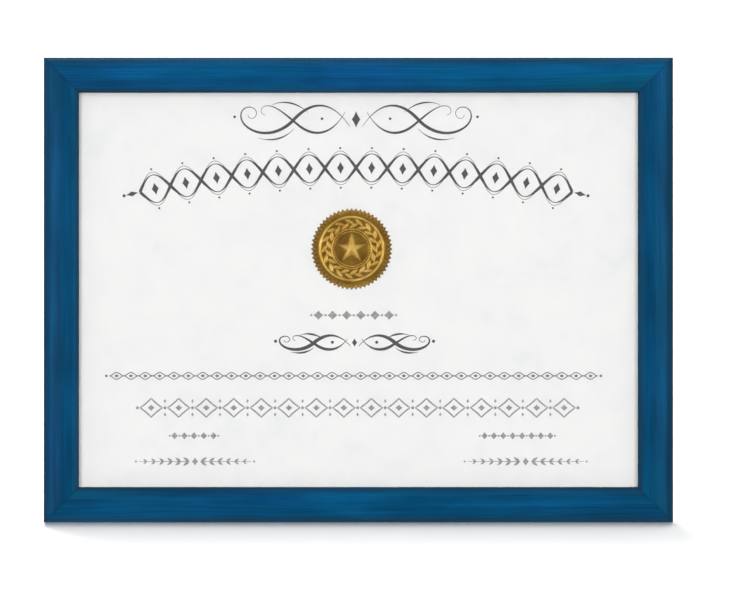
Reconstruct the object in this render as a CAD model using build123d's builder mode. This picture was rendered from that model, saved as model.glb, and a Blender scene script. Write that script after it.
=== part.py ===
"""Landscape certificate frame for an A4 sheet, standing on its easel strut.

Four mitred wooden rails hold glass, a certificate with a foil seal, a filler board and a
velvet-covered back. Turn buttons lock the back in, two sawtooth hangers take a wall nail,
and a hinged strut with a ribbon stay lets the frame stand on a table, leaning back.

Millimetres. +Z is up, the face looks towards -Y, and the origin is on the table under the
middle of the object's box.
"""

from build123d import *
import os
from math import cos, pi, radians, sin

os.makedirs("parts", exist_ok=True)

# ---------------------------------------------------------------- driving dimensions
# sheet and opening
SHEET_W, SHEET_H, SHEET_T = 297.0, 210.0, 0.2
SIGHT_W, SIGHT_H = 287.0, 202.5

# rails: w runs from the front of the face to the back
RAIL_W, RAIL_D = 18.2, 12.0
RABBET_W = 6.0
LIP_D = 3.35
CROWN = 0.6
OUTER_R, INNER_R, BACK_R = 4.4, 1.6, 0.5
OUT_W, OUT_H = SIGHT_W + 2 * RAIL_W, SIGHT_H + 2 * RAIL_W

# the stack in the rabbet
FIT = 0.5
PACK_W = SIGHT_W + 2 * RABBET_W - 2 * FIT
PACK_H = SIGHT_H + 2 * RABBET_W - 2 * FIT
GLASS_T = 2.0
SEAL_GAP = 0.35
FILLER_T = 2.5
BACK_T = 3.0
VELVET_T = 0.4
W_GLASS = LIP_D
W_SHEET = W_GLASS + GLASS_T + SEAL_GAP
W_FILLER = W_SHEET + SHEET_T
W_BACK = W_FILLER + FILLER_T
W_VELVET = W_BACK + BACK_T
W_REAR = W_VELVET + VELVET_T

# foil seal, from the middle of the opening
SEAL_X, SEAL_V = -3.5, 21.0
SEAL_R, SEAL_TOOTH, SEAL_TEETH = 21.0, 1.3, 56
SEAL_T, SEAL_RELIEF = 0.14, 0.16

# turn buttons
BUTTON_X = 95.0
BUTTON_EDGE = 6.1
BUTTON_W, BUTTON_TIP, BUTTON_TAIL, BUTTON_T = 9.0, 16.5, 5.0, 1.0
BUTTON_GAP = 0.1
SCREW_R, SCREW_HEAD_R, SCREW_HEAD_T, SCREW_DEEP = 1.4, 3.1, 1.7, 9.0
BUTTON_HOLE_R = SCREW_R + 0.06

# sawtooth hangers
HANGER_L, HANGER_W, HANGER_T, HANGER_RISE = 45.0, 8.6, 0.7, 1.8
HANGER_NAIL = 19.0
HANGER_EDGE = 6.3
NAIL_R, NAIL_HEAD_R, NAIL_HEAD_T, NAIL_DEEP = 0.8, 1.7, 0.6, 8.0

# corner nails
VNAIL_ARM, VNAIL_T, VNAIL_DEEP = 2.6, 0.5, 8.0
VNAIL_AT = (4.4, 8.8)

# rubber pads
PAD_R, PAD_T, PAD_X, PAD_EDGE = 4.2, 2.0, 148.0, 6.4

# easel
LEAN = 14.0
SPREAD = 26.0
HINGE_V = 160.0
KNUCKLE_R, PIN_R, LEAF_T = 2.4, 1.2, 0.9
PIN_PLAY = 0.06
HINGE_OFF = 2.7
LEAF_L, LEAF_W = 40.0, 16.0
KNUCKLES_FIXED = ((-20.0, -12.1), (-3.9, 3.9), (12.1, 20.0))
KNUCKLES_MOVING = ((-11.9, -4.1), (4.1, 11.9))
RIVET_X, RIVET_V, RIVET_R, RIVET_HEAD_R, RIVET_HEAD_T = 13.0, 10.2, 1.2, 2.5, 0.9
LEG_TOP_W, LEG_FOOT_W, LEG_T, LEG_TOP = 42.0, 64.0, 2.8, 3.3

# ribbon stay
RIBBON_W, RIBBON_T, RIBBON_TAB = 10.0, 0.3, 9.0
RIBBON_AT = 106.0  # down from the pin, the same on the back and on the leg
STAPLE_T, STAPLE_W, STAPLE_DEEP = 0.6, 13.0, 2.4

# ---------------------------------------------------------------- datum planes
c, s = cos(radians(LEAN)), sin(radians(LEAN))
UP = Vector(0, s, c)  # up the frame
OUT = Vector(0, -c, s)  # out of its face

# the frame rests on its rounded rear bottom edge, so that edge is at the height of the table
edge_z = -BACK_R * (c + s - 1)
hinge_w = W_REAR + HINGE_OFF
hinge_z = edge_z + HINGE_V * c - (hinge_w - RAIL_D) * s
tilt = LEAN - SPREAD
lc, ls = cos(radians(tilt)), sin(radians(tilt))
LEG_REAR = KNUCKLE_R - LEAF_T  # the leg's rear face, behind the pin
foot = (hinge_z - LEG_REAR * ls) / lc  # down the leg from the pin to the rear of the foot
rear_y = (hinge_w - RAIL_D) * c + HINGE_V * s - foot * ls + LEG_REAR * lc
front_y = (OUTER_R + 0.35 - RAIL_D) * c + OUTER_R * s - OUTER_R
edge_y = -(rear_y + front_y) / 2

EDGE = Vector(0, edge_y, edge_z)
FACE = Plane(origin=EDGE + UP * (OUT_H / 2) + OUT * RAIL_D, x_dir=(1, 0, 0), z_dir=OUT)


def at(w):
    """The plane parallel to the face at depth w behind it, x right and y up the frame."""
    return FACE.offset(-w)


def on_frame(x, v, w):
    """The point x right of the middle, v up the frame from its bottom edge, w deep."""
    return EDGE + UP * v + OUT * (RAIL_D - w) + Vector(x, 0, 0)


PIN = on_frame(0, HINGE_V, hinge_w)
LEG_UP = Vector(0, ls, lc)
LEG_OUT = Vector(0, -lc, ls)
LEG = Plane(origin=PIN, x_dir=(1, 0, 0), z_dir=LEG_OUT)
# sections across the frame and across the leg: x is depth backwards, y is up
FRAME_SECTION = Plane(origin=PIN, x_dir=-OUT, z_dir=(1, 0, 0))
LEG_SECTION = Plane(origin=PIN, x_dir=-LEG_OUT, z_dir=(1, 0, 0))

half_w, half_h = OUT_W / 2, OUT_H / 2
BUTTONS = {
    "top_left": (-BUTTON_X, half_h - BUTTON_EDGE, -1),
    "top_right": (BUTTON_X, half_h - BUTTON_EDGE, -1),
    "bottom_left": (-BUTTON_X, -half_h + BUTTON_EDGE, 1),
    "bottom_right": (BUTTON_X, -half_h + BUTTON_EDGE, 1),
}
HANGER_TOP = (0.0, half_h - HANGER_EDGE)
HANGER_SIDE = (-half_w + HANGER_EDGE, 0.0)
NAILS = [
    (HANGER_TOP[0] - HANGER_NAIL, HANGER_TOP[1]),
    (HANGER_TOP[0] + HANGER_NAIL, HANGER_TOP[1]),
    (HANGER_SIDE[0], HANGER_SIDE[1] - HANGER_NAIL),
    (HANGER_SIDE[0], HANGER_SIDE[1] + HANGER_NAIL),
]

# ---------------------------------------------------------------- nails and screws in the rails
# V nails: two across each mitre, driven in from the back
with BuildPart() as corner_v_nails:
    with BuildSketch(at(RAIL_D)):
        for sx, sy, turn in ((-1, -1, 45), (1, -1, 135), (1, 1, 225), (-1, 1, 315)):
            for d in VNAIL_AT:
                with Locations(Location((sx * (half_w - d), sy * (half_h - d), 0), (0, 0, turn))):
                    Polygon(
                        (0, 0),
                        (VNAIL_ARM, VNAIL_ARM),
                        (VNAIL_ARM - VNAIL_T * 1.4142, VNAIL_ARM),
                        (-VNAIL_T * 1.4142, 0),
                        (VNAIL_ARM - VNAIL_T * 1.4142, -VNAIL_ARM),
                        (VNAIL_ARM, -VNAIL_ARM),
                    )
    extrude(amount=VNAIL_DEEP)
corner_v_nails.part.label = "corner_v_nails"

# turn button screws: shank with a point, pan head, cross recess
with BuildPart() as turn_button_screws:
    spots = [(x, v) for x, v, _ in BUTTONS.values()]
    head_w = RAIL_D + 2 * BUTTON_GAP + BUTTON_T
    with BuildSketch(at(head_w)):
        with Locations(*spots):
            Circle(SCREW_R)
    extrude(amount=SCREW_DEEP - 2.5 + 2 * BUTTON_GAP + BUTTON_T)
    with BuildSketch(at(RAIL_D - SCREW_DEEP + 2.5)):
        with Locations(*spots):
            Circle(SCREW_R)
    extrude(amount=2.5, taper=24)
    with BuildSketch(at(head_w)):
        with Locations(*spots):
            Circle(SCREW_HEAD_R)
    extrude(amount=-SCREW_HEAD_T)
    fillet(
        turn_button_screws.edges()
        .filter_by(GeomType.CIRCLE)
        .filter_by(lambda e: abs(e.radius - SCREW_HEAD_R) < 0.01)
        .filter_by(lambda e: FACE.to_local_coords(e.arc_center).Z < -head_w - 0.5 * SCREW_HEAD_T),
        radius=1.2,
    )
    with BuildSketch(at(head_w + SCREW_HEAD_T)):
        with Locations(*spots):
            Rectangle(3.0, 0.7, rotation=45)
            Rectangle(3.0, 0.7, rotation=135)
    extrude(amount=1.1, mode=Mode.SUBTRACT)
turn_button_screws.part.label = "turn_button_screws"

# hanger nails: round shank with a flat head
with BuildPart() as hanger_nails:
    with BuildSketch(at(RAIL_D + HANGER_T)):
        with Locations(*NAILS):
            Circle(NAIL_R)
    extrude(amount=HANGER_T + NAIL_DEEP)
    with BuildSketch(at(RAIL_D + HANGER_T)):
        with Locations(*NAILS):
            Circle(NAIL_HEAD_R)
    extrude(amount=-NAIL_HEAD_T)
    fillet(
        hanger_nails.edges()
        .filter_by(GeomType.CIRCLE)
        .filter_by(lambda e: abs(e.radius - NAIL_HEAD_R) < 0.01)
        .filter_by(lambda e: FACE.to_local_coords(e.arc_center).Z < -RAIL_D - HANGER_T - 0.5 * NAIL_HEAD_T),
        radius=0.35,
    )
hanger_nails.part.label = "hanger_nails"

# ---------------------------------------------------------------- rails
# section of the moulding: x is inwards from the outer edge, y is out of the face
profile_top = -CROWN


def corners(sketch, x, y):
    """The corner of the section at x, y."""
    return [v for v in sketch.vertices() if abs(v.X - x) < 0.01 and abs(v.Y - y) < 0.01]


rail_frames = {
    "bottom": (Plane(origin=FACE.from_local_coords(Vector(0, -half_h, 0)), x_dir=UP, z_dir=(1, 0, 0)), half_w),
    "top": (Plane(origin=FACE.from_local_coords(Vector(0, half_h, 0)), x_dir=-UP, z_dir=(-1, 0, 0)), half_w),
    "left": (Plane(origin=FACE.from_local_coords(Vector(-half_w, 0, 0)), x_dir=(1, 0, 0), z_dir=-UP), half_h),
    "right": (Plane(origin=FACE.from_local_coords(Vector(half_w, 0, 0)), x_dir=(-1, 0, 0), z_dir=UP), half_h),
}
rail_plans = {
    "bottom": ((-half_w, -half_h), (half_w, -half_h), (half_w - RAIL_W, RAIL_W - half_h), (RAIL_W - half_w, RAIL_W - half_h)),
    "top": ((half_w, half_h), (-half_w, half_h), (RAIL_W - half_w, half_h - RAIL_W), (half_w - RAIL_W, half_h - RAIL_W)),
    "left": ((-half_w, half_h), (-half_w, -half_h), (RAIL_W - half_w, RAIL_W - half_h), (RAIL_W - half_w, half_h - RAIL_W)),
    "right": ((half_w, -half_h), (half_w, half_h), (half_w - RAIL_W, half_h - RAIL_W), (half_w - RAIL_W, RAIL_W - half_h)),
}
for side in ("top", "bottom", "left", "right"):
    plane, reach = rail_frames[side]
    with BuildPart() as rail:
        with BuildSketch(plane) as section:
            # crowned face, rounded edges and a rabbet behind the lip
            with BuildLine():
                Polyline(
                    (0, profile_top),
                    (0, -RAIL_D),
                    (RAIL_W - RABBET_W, -RAIL_D),
                    (RAIL_W - RABBET_W, -LIP_D),
                    (RAIL_W, -LIP_D),
                    (RAIL_W, profile_top),
                )
                ThreePointArc((RAIL_W, profile_top), (RAIL_W / 2, 0), (0, profile_top))
            make_face()
            fillet(corners(section, 0, profile_top), radius=OUTER_R)
            fillet(corners(section, RAIL_W, profile_top), radius=INNER_R)
            fillet(corners(section, 0, -RAIL_D), radius=BACK_R)
            fillet(corners(section, RAIL_W - RABBET_W, -RAIL_D), radius=0.3)
            fillet(corners(section, RAIL_W, -LIP_D), radius=0.3)
        extrude(amount=reach, both=True)
        with BuildSketch(at(-1)):
            Polygon(*rail_plans[side])
        extrude(amount=-(RAIL_D + 2), mode=Mode.INTERSECT)
        add(corner_v_nails.part, mode=Mode.SUBTRACT)
        add(turn_button_screws.part, mode=Mode.SUBTRACT)
        add(hanger_nails.part, mode=Mode.SUBTRACT)
    rail.part.label = "rail_" + side
    export_step(rail.part, "parts/rail_" + side + ".step")

# ---------------------------------------------------------------- glass, sheet, seal, boards
with BuildPart() as glass_pane:
    with BuildSketch(at(W_GLASS)):
        Rectangle(PACK_W, PACK_H)
    extrude(amount=-GLASS_T)
    chamfer(glass_pane.edges(), length=0.2)
glass_pane.part.label = "glass_pane"

with BuildPart() as certificate_sheet:
    with BuildSketch(at(W_SHEET)):
        Rectangle(SHEET_W, SHEET_H)
    extrude(amount=-SHEET_T)
certificate_sheet.part.label = "certificate_sheet"

# serrated foil disc with raised rings
with BuildPart() as foil_seal:
    teeth = []
    for i in range(2 * SEAL_TEETH):
        r = SEAL_R - (i % 2) * SEAL_TOOTH
        a = pi * i / SEAL_TEETH
        teeth.append((SEAL_X + r * cos(a), SEAL_V + r * sin(a)))
    with BuildSketch(at(W_SHEET)):
        Polygon(*teeth)
    extrude(amount=SEAL_T)
    with BuildSketch(at(W_SHEET - SEAL_T)):
        with Locations((SEAL_X, SEAL_V)):
            Circle(SEAL_R * 0.80)
            Circle(SEAL_R * 0.74, mode=Mode.SUBTRACT)
            Circle(SEAL_R * 0.50)
            Circle(SEAL_R * 0.46, mode=Mode.SUBTRACT)
    extrude(amount=SEAL_RELIEF)
foil_seal.part.label = "foil_seal"

with BuildPart() as filler_board:
    with BuildSketch(at(W_FILLER)):
        Rectangle(PACK_W, PACK_H)
    extrude(amount=-FILLER_T)
filler_board.part.label = "filler_board"

# hinge rivets through the back: domed head on the leaf, tail flush in the front of the board
rivet_v = HINGE_V - half_h + RIVET_V
board_rivet_spots = [(-RIVET_X, rivet_v), (0, rivet_v), (RIVET_X, rivet_v)]
with BuildPart() as hinge_rivets_board:
    with BuildSketch(at(W_BACK)):
        with Locations(*board_rivet_spots):
            Circle(RIVET_R * 1.7)
    extrude(amount=-0.6)
    with BuildSketch(at(W_BACK)):
        with Locations(*board_rivet_spots):
            Circle(RIVET_R)
    extrude(amount=-(W_REAR + LEAF_T - W_BACK))
    with BuildSketch(at(W_REAR + LEAF_T)):
        with Locations(*board_rivet_spots):
            Circle(RIVET_HEAD_R)
    extrude(amount=-RIVET_HEAD_T)
    fillet(
        hinge_rivets_board.edges()
        .filter_by(GeomType.CIRCLE)
        .filter_by(lambda e: abs(e.radius - RIVET_HEAD_R) < 0.01)
        .filter_by(lambda e: FACE.to_local_coords(e.arc_center).Z < -W_REAR - LEAF_T - 0.5 * RIVET_HEAD_T),
        radius=0.8,
    )
hinge_rivets_board.part.label = "hinge_rivets_board"

# staple over the ribbon's end on the back: crown across the ribbon, two legs into the board
board_staple_v = HINGE_V - half_h - RIBBON_AT + RIBBON_TAB * 0.55
with BuildPart() as ribbon_staple_board:
    with BuildSketch(at(W_REAR + RIBBON_T)):
        with Locations((0, board_staple_v)):
            Rectangle(STAPLE_W, STAPLE_T)
    extrude(amount=-STAPLE_T)
    with BuildSketch(at(W_REAR + RIBBON_T)):
        with Locations(
            (-(STAPLE_W - STAPLE_T) / 2, board_staple_v), ((STAPLE_W - STAPLE_T) / 2, board_staple_v)
        ):
            Rectangle(STAPLE_T, STAPLE_T)
    extrude(amount=RIBBON_T + STAPLE_DEEP)
    fillet(
        ribbon_staple_board.edges()
        .filter_by(lambda e: abs(FACE.to_local_coords(e.center()).Z + W_REAR + RIBBON_T + STAPLE_T) < 0.01)
        .filter_by(lambda e: abs(e.length - STAPLE_T) < 0.01),
        radius=0.4,
    )
ribbon_staple_board.part.label = "ribbon_staple_board"

with BuildPart() as back_board:
    with BuildSketch(at(W_BACK)):
        Rectangle(PACK_W, PACK_H)
    extrude(amount=-BACK_T)
    add(hinge_rivets_board.part, mode=Mode.SUBTRACT)
    add(ribbon_staple_board.part, mode=Mode.SUBTRACT)
back_board.part.label = "back_board"

with BuildPart() as velvet_cover:
    with BuildSketch(at(W_VELVET)):
        Rectangle(PACK_W, PACK_H)
    extrude(amount=-VELVET_T)
    add(hinge_rivets_board.part, mode=Mode.SUBTRACT)
    add(ribbon_staple_board.part, mode=Mode.SUBTRACT)
velvet_cover.part.label = "velvet_cover"

# ---------------------------------------------------------------- turn buttons
# stamped tab with a pressed rib, on the shank of its screw
button_w = RAIL_D + BUTTON_GAP
turn_buttons = {}
for name, (x, v, way) in BUTTONS.items():
    with BuildPart() as turn_button:
        with BuildSketch(at(button_w)):
            with BuildLine():
                r1, r2 = BUTTON_W / 2, BUTTON_W * 0.36
                y2 = v + way * (BUTTON_TIP - r2)
                Line((x - r1, v), (x - r2, y2))
                ThreePointArc((x - r2, y2), (x, v + way * BUTTON_TIP), (x + r2, y2))
                Line((x + r2, y2), (x + r1, v))
                ThreePointArc((x + r1, v), (x, v - way * BUTTON_TAIL), (x - r1, v))
            make_face()
        extrude(amount=-BUTTON_T)
        with BuildSketch(at(button_w + BUTTON_T)):
            with Locations((x, v + way * (SCREW_HEAD_R + 1.2 + (BUTTON_TIP - SCREW_HEAD_R - 3.2) / 2))):
                SlotOverall(BUTTON_TIP - SCREW_HEAD_R - 3.2, 2.6, rotation=90)
        extrude(amount=-0.45)
        fillet(
            turn_button.edges()
            .filter_by(lambda e: FACE.to_local_coords(e.center()).Z < -(button_w + BUTTON_T + 0.3)),
            radius=0.35,
        )
        with BuildSketch(at(button_w)):
            with Locations((x, v)):
                Circle(BUTTON_HOLE_R)
        extrude(amount=-BUTTON_T, mode=Mode.SUBTRACT)
    turn_button.part.label = "turn_button_" + name
    export_step(turn_button.part, "parts/turn_button_" + name + ".step")

# ---------------------------------------------------------------- sawtooth hangers
# hat-shaped strip whose raised middle has a row of teeth on the edge that takes the nail
hat_flat, hat_step = 13.2, 11.4
hat = (
    (-HANGER_L / 2, 0),
    (-hat_flat, 0),
    (-hat_step, HANGER_RISE),
    (hat_step, HANGER_RISE),
    (hat_flat, 0),
    (HANGER_L / 2, 0),
    (HANGER_L / 2, HANGER_T),
    (hat_flat - 0.25, HANGER_T),
    (hat_step - 0.25, HANGER_RISE + HANGER_T),
    (-hat_step + 0.25, HANGER_RISE + HANGER_T),
    (-hat_flat + 0.25, HANGER_T),
    (-HANGER_L / 2, HANGER_T),
)
TEETH, TOOTH_P, TOOTH_H = 9, 2.4, 1.7
hangers = {
    # its middle, the way along the strip, and the way its teeth point
    "hanger_landscape": (HANGER_TOP, Vector(1, 0, 0), -UP),
    "hanger_portrait": (HANGER_SIDE, UP, Vector(1, 0, 0)),
}
for name, (spot, along, teeth_way) in hangers.items():
    middle = FACE.from_local_coords(Vector(spot[0], spot[1], -RAIL_D))
    side = along.cross(-OUT)  # across the strip
    with BuildPart() as hanger:
        with BuildSketch(Plane(origin=middle, x_dir=along, z_dir=side)):
            Polygon(*hat)
        extrude(amount=HANGER_W / 2, both=True)
        # rounded ends and nail holes
        with BuildSketch(Plane(origin=middle, x_dir=along, z_dir=-OUT)):
            RectangleRounded(HANGER_L, HANGER_W, 3.0)
        extrude(amount=6, mode=Mode.INTERSECT)
        with BuildSketch(Plane(origin=middle, x_dir=along, z_dir=-OUT)):
            with Locations((-HANGER_NAIL, 0), (HANGER_NAIL, 0)):
                Circle(NAIL_R)
        extrude(amount=6, mode=Mode.SUBTRACT)
        # notches between the teeth
        sign = 1 if teeth_way.dot(Plane(origin=middle, x_dir=along, z_dir=-OUT).y_dir) > 0 else -1
        with BuildSketch(Plane(origin=middle, x_dir=along, z_dir=-OUT)):
            for i in range(TEETH - 1):
                u = (i - (TEETH - 2) / 2) * TOOTH_P
                Polygon(
                    (u, sign * (HANGER_W / 2 - TOOTH_H)),
                    (u + TOOTH_P * 0.46, sign * (HANGER_W / 2 + 0.2)),
                    (u - TOOTH_P * 0.46, sign * (HANGER_W / 2 + 0.2)),
                )
        extrude(amount=6, mode=Mode.SUBTRACT)
    hanger.part.label = name
    export_step(hanger.part, "parts/" + name + ".step")

# ---------------------------------------------------------------- rubber pads
with BuildPart() as wall_bumpers:
    with BuildSketch(at(RAIL_D)):
        with Locations((-PAD_X, -half_h + PAD_EDGE), (PAD_X, -half_h + PAD_EDGE)):
            Circle(PAD_R)
    extrude(amount=-PAD_T)
    fillet(
        wall_bumpers.edges()
        .filter_by(GeomType.CIRCLE)
        .filter_by(lambda e: FACE.to_local_coords(e.arc_center).Z < -RAIL_D - 0.5 * PAD_T),
        radius=1.4,
    )
wall_bumpers.part.label = "wall_bumpers"

# ---------------------------------------------------------------- hinge
with BuildPart() as hinge_leaf_fixed:
    # leaf flat on the velvet above the pin, cut back beside the other leaf's knuckles
    with BuildSketch(at(W_REAR)):
        with Locations((0, HINGE_V - half_h + (KNUCKLE_R + 0.6 + LEAF_W) / 2)):
            Rectangle(LEAF_L, LEAF_W - KNUCKLE_R - 0.6)
        for x0, x1 in KNUCKLES_FIXED:
            with Locations(((x0 + x1) / 2, HINGE_V - half_h + 2)):
                Rectangle(x1 - x0, 4)
    extrude(amount=-LEAF_T)
    fillet(
        hinge_leaf_fixed.edges()
        .filter_by(lambda e: abs(e.length - LEAF_T) < 0.01)
        .filter_by(lambda e: FACE.to_local_coords(e.center()).Y > HINGE_V - half_h + LEAF_W - 0.1),
        radius=2.5,
    )
    for x0, x1 in KNUCKLES_FIXED:
        with BuildSketch(FRAME_SECTION.offset(x0)):
            Circle(KNUCKLE_R)
        extrude(amount=x1 - x0)
    with BuildSketch(FRAME_SECTION.offset(-LEAF_L / 2 - 1)):
        Circle(PIN_R)
    extrude(amount=LEAF_L + 2, mode=Mode.SUBTRACT)
    add(hinge_rivets_board.part, mode=Mode.SUBTRACT)
hinge_leaf_fixed.part.label = "hinge_leaf_fixed"

with BuildPart() as hinge_pin:
    with BuildSketch(FRAME_SECTION.offset(-LEAF_L / 2)):
        Circle(PIN_R)
    extrude(amount=LEAF_L)
    with BuildSketch(FRAME_SECTION.offset(-LEAF_L / 2 - 0.9)):
        Circle(PIN_R + 0.5)
    extrude(amount=0.9)
    with BuildSketch(FRAME_SECTION.offset(LEAF_L / 2)):
        Circle(PIN_R + 0.5)
    extrude(amount=0.9)
    fillet(
        hinge_pin.edges()
        .filter_by(GeomType.CIRCLE)
        .filter_by(lambda e: abs(abs(e.arc_center.X) - LEAF_L / 2 - 0.9) < 0.01),
        radius=0.5,
    )
hinge_pin.part.label = "hinge_pin"

# rivets through the moving leaf and the leg: domed head behind, tail on the leg's front
leg_rear, leg_front = -LEG_REAR, LEG_T - LEG_REAR
leg_rivet_spots = [(-RIVET_X, -RIVET_V - 1.2), (0, -RIVET_V - 1.2), (RIVET_X, -RIVET_V - 1.2)]
with BuildPart() as hinge_rivets_leg:
    with BuildSketch(LEG.offset(leg_front + 0.4)):
        with Locations(*leg_rivet_spots):
            Circle(RIVET_R * 1.7)
    extrude(amount=-0.4)
    with BuildSketch(LEG.offset(leg_front)):
        with Locations(*leg_rivet_spots):
            Circle(RIVET_R)
    extrude(amount=-(LEG_T + LEAF_T))
    with BuildSketch(LEG.offset(leg_rear - LEAF_T)):
        with Locations(*leg_rivet_spots):
            Circle(RIVET_HEAD_R)
    extrude(amount=-RIVET_HEAD_T)
    fillet(
        hinge_rivets_leg.edges()
        .filter_by(GeomType.CIRCLE)
        .filter_by(lambda e: abs(e.radius - RIVET_HEAD_R) < 0.01)
        .filter_by(lambda e: LEG.to_local_coords(e.arc_center).Z < leg_rear - LEAF_T - 0.5 * RIVET_HEAD_T),
        radius=0.8,
    )
hinge_rivets_leg.part.label = "hinge_rivets_leg"

with BuildPart() as hinge_leaf_moving:
    # leaf flat on the rear of the leg below the pin
    with BuildSketch(LEG.offset(leg_rear)):
        with Locations((0, -(KNUCKLE_R + 0.6 + LEAF_W + 1.2) / 2)):
            Rectangle(LEAF_L, LEAF_W + 1.2 - KNUCKLE_R - 0.6)
        for x0, x1 in KNUCKLES_MOVING:
            with Locations(((x0 + x1) / 2, -2)):
                Rectangle(x1 - x0, 4)
    extrude(amount=-LEAF_T)
    fillet(
        hinge_leaf_moving.edges()
        .filter_by(lambda e: abs(e.length - LEAF_T) < 0.01)
        .filter_by(lambda e: LEG.to_local_coords(e.center()).Y < -LEAF_W - 1.1),
        radius=2.5,
    )
    for x0, x1 in KNUCKLES_MOVING:
        with BuildSketch(LEG_SECTION.offset(x0)):
            Circle(KNUCKLE_R)
        extrude(amount=x1 - x0)
    with BuildSketch(LEG_SECTION.offset(-LEAF_L / 2 - 1)):
        Circle(PIN_R + PIN_PLAY)
    extrude(amount=LEAF_L + 2, mode=Mode.SUBTRACT)
    add(hinge_rivets_leg.part, mode=Mode.SUBTRACT)
hinge_leaf_moving.part.label = "hinge_leaf_moving"

# ---------------------------------------------------------------- leg
leg_staple_v = -RIBBON_AT - RIBBON_TAB * 0.55
with BuildPart() as ribbon_staple_leg:
    with BuildSketch(LEG.offset(leg_front + RIBBON_T)):
        with Locations((0, leg_staple_v)):
            Rectangle(STAPLE_W, STAPLE_T)
    extrude(amount=STAPLE_T)
    with BuildSketch(LEG.offset(leg_front + RIBBON_T)):
        with Locations(
            (-(STAPLE_W - STAPLE_T) / 2, leg_staple_v), ((STAPLE_W - STAPLE_T) / 2, leg_staple_v)
        ):
            Rectangle(STAPLE_T, STAPLE_T)
    extrude(amount=-(RIBBON_T + STAPLE_DEEP - 0.4))
    fillet(
        ribbon_staple_leg.edges()
        .filter_by(lambda e: abs(LEG.to_local_coords(e.center()).Z - leg_front - RIBBON_T - STAPLE_T) < 0.01)
        .filter_by(lambda e: abs(e.length - STAPLE_T) < 0.01),
        radius=0.4,
    )
ribbon_staple_leg.part.label = "ribbon_staple_leg"

with BuildPart() as easel_leg:
    with BuildSketch(LEG.offset(leg_front)):
        with BuildLine():
            low = -foot - 0.9
            outline = FilletPolyline(
                (-LEG_TOP_W / 2, -LEG_TOP),
                (-LEG_FOOT_W / 2, low),
                (LEG_FOOT_W / 2, low),
                (LEG_TOP_W / 2, -LEG_TOP),
                radius=5.0,
                close=True,
            )
        make_face()
    extrude(amount=-LEG_T)
    # the foot is cut to sit flat on the table
    split(bisect_by=Plane.XY, keep=Keep.TOP)
    add(hinge_rivets_leg.part, mode=Mode.SUBTRACT)
    add(ribbon_staple_leg.part, mode=Mode.SUBTRACT)
easel_leg.part.label = "easel_leg"

# ---------------------------------------------------------------- ribbon
# a tab going up flat on the velvet, the taut span, and a tab going down flat on the leg's front
b = FRAME_SECTION.from_local_coords(Vector(-HINGE_OFF, -RIBBON_AT, 0))
a = LEG_SECTION.from_local_coords(Vector(-leg_front, -RIBBON_AT, 0))
b_top = b + UP * RIBBON_TAB
a_low = a - LEG_UP * RIBBON_TAB


def in_section(p):
    """A point's place in the frame's section plane."""
    q = FRAME_SECTION.to_local_coords(p)
    return (q.X, q.Y)


with BuildPart() as stay_ribbon:
    with BuildSketch(FRAME_SECTION.offset(-RIBBON_W / 2)):
        Polygon(
            in_section(b_top),
            in_section(b_top - OUT * RIBBON_T),
            in_section(b - OUT * RIBBON_T),
            in_section(a),
            in_section(a_low),
            in_section(a_low + LEG_OUT * RIBBON_T),
            in_section(a + LEG_OUT * RIBBON_T - LEG_UP * RIBBON_T * 0.9),
            in_section(b - UP * RIBBON_T),
        )
    extrude(amount=RIBBON_W)
stay_ribbon.part.label = "stay_ribbon"

# ---------------------------------------------------------------- hand-in
for piece in (
    corner_v_nails,
    turn_button_screws,
    hanger_nails,
    glass_pane,
    certificate_sheet,
    foil_seal,
    filler_board,
    hinge_rivets_board,
    ribbon_staple_board,
    back_board,
    velvet_cover,
    wall_bumpers,
    hinge_leaf_fixed,
    hinge_pin,
    hinge_rivets_leg,
    hinge_leaf_moving,
    ribbon_staple_leg,
    easel_leg,
    stay_ribbon,
):
    export_step(piece.part, "parts/" + piece.part.label + ".step")

print("hinge pin at", PIN, "foot", foot, "edge", EDGE, "ribbon span", (a - b).length, "from", b, "to", a)
print("bottom edge mount", on_frame(0, 0, RAIL_D / 2), "normal", -UP)
print("buttons", {k: FACE.from_local_coords(Vector(x, v, -RAIL_D)) for k, (x, v, _) in BUTTONS.items()}, "axis", -OUT)
print("hangers", FACE.from_local_coords(Vector(HANGER_TOP[0], HANGER_TOP[1], -RAIL_D)), FACE.from_local_coords(Vector(HANGER_SIDE[0], HANGER_SIDE[1], -RAIL_D)))
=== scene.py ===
from math import asin, atan2, cos, exp, floor, hypot, pi, radians, sin, sqrt

import bpy
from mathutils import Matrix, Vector, noise
from mathutils.geometry import delaunay_2d_cdt


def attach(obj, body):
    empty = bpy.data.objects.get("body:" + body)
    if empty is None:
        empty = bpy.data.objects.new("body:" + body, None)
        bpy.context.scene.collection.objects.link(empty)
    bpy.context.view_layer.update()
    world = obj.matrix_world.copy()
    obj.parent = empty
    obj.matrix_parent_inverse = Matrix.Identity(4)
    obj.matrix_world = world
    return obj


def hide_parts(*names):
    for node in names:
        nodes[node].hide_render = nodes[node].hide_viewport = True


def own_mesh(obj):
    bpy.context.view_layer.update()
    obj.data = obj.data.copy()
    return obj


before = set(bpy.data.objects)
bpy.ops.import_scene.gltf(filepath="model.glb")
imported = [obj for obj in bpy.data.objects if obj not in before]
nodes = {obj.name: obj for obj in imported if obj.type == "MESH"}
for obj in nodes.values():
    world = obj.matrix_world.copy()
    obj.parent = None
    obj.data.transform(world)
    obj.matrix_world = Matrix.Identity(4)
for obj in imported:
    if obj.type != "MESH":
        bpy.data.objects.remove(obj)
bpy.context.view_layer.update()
scene = bpy.context.scene

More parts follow.
